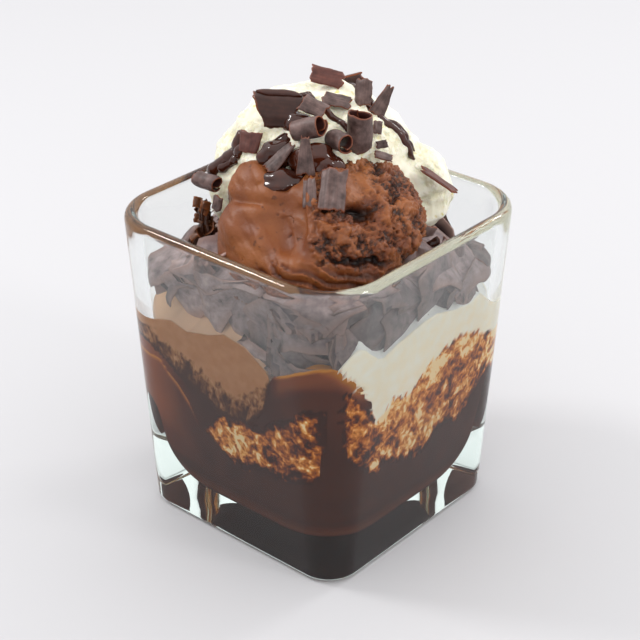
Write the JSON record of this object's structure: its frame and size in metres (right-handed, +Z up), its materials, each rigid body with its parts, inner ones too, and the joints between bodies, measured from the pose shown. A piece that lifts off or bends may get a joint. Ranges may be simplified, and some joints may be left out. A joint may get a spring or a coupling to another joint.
{
  "type": "dessert shooter",
  "caption": "Small square glass filled with chocolate sauce and ice cream, heaped with a chocolate and a vanilla scoop, sauce drizzle and chocolate curls.",
  "frame": {"origin": "centre of the glass's underside, on the surface that the glass stands on", "axes": "+Z up along the glass's height; X and Y square to the glass's sides; the scoops and curls face the corner between +X and -Y"},
  "size_m": [0.075, 0.075, 0.1124],
  "materials": {
    "clear_glass": "clear pressed glass, very slightly green in its thick base",
    "chocolate_sauce": "wet glossy dark chocolate sauce",
    "vanilla_ice_cream": "pale cream ice cream, soft matte with small pits",
    "chocolate_ice_cream": "milk-brown ice cream, smooth where scraped and crumbly where torn",
    "dark_chocolate": "dark chocolate with a dull grey bloom"
  },
  "bodies": {
    "root": {"chocolate_sauce": "chocolate_sauce", "chocolate_scoop": "chocolate_ice_cream", "curl_back": "dark_chocolate", "curl_bloomed_back": "dark_chocolate", "curl_chip_lower": "dark_chocolate", "curl_chip_middle": "dark_chocolate", "curl_chip_upper": "dark_chocolate", "curl_dark_left": "dark_chocolate", "curl_flat_back": "dark_chocolate", "curl_glossy_trough": "dark_chocolate", "curl_inner_right": "dark_chocolate", "curl_inner_right_arch": "dark_chocolate", "curl_left_chip": "dark_chocolate", "curl_left_roll": "dark_chocolate", "curl_left_shard": "dark_chocolate", "curl_low_right": "dark_chocolate", "curl_low_stick": "dark_chocolate", "curl_petal": "dark_chocolate", "curl_pointed_shard": "dark_chocolate", "curl_ribbed_back": "dark_chocolate", "curl_ribbed_front": "dark_chocolate", "curl_right_shard": "dark_chocolate", "curl_roll_middle": "dark_chocolate", "curl_small_roll": "dark_chocolate", "curl_tall_tube": "dark_chocolate", "curl_top_shard": "dark_chocolate", "curl_wedge_left": "dark_chocolate", "curl_wedge_right": "dark_chocolate", "glass": "clear_glass", "lower_chocolate": "chocolate_ice_cream", "lower_vanilla": "vanilla_ice_cream", "shavings_bed": "dark_chocolate", "shavings_column": "dark_chocolate", "vanilla_scoop": "vanilla_ice_cream"}
  },
  "joints": []
}
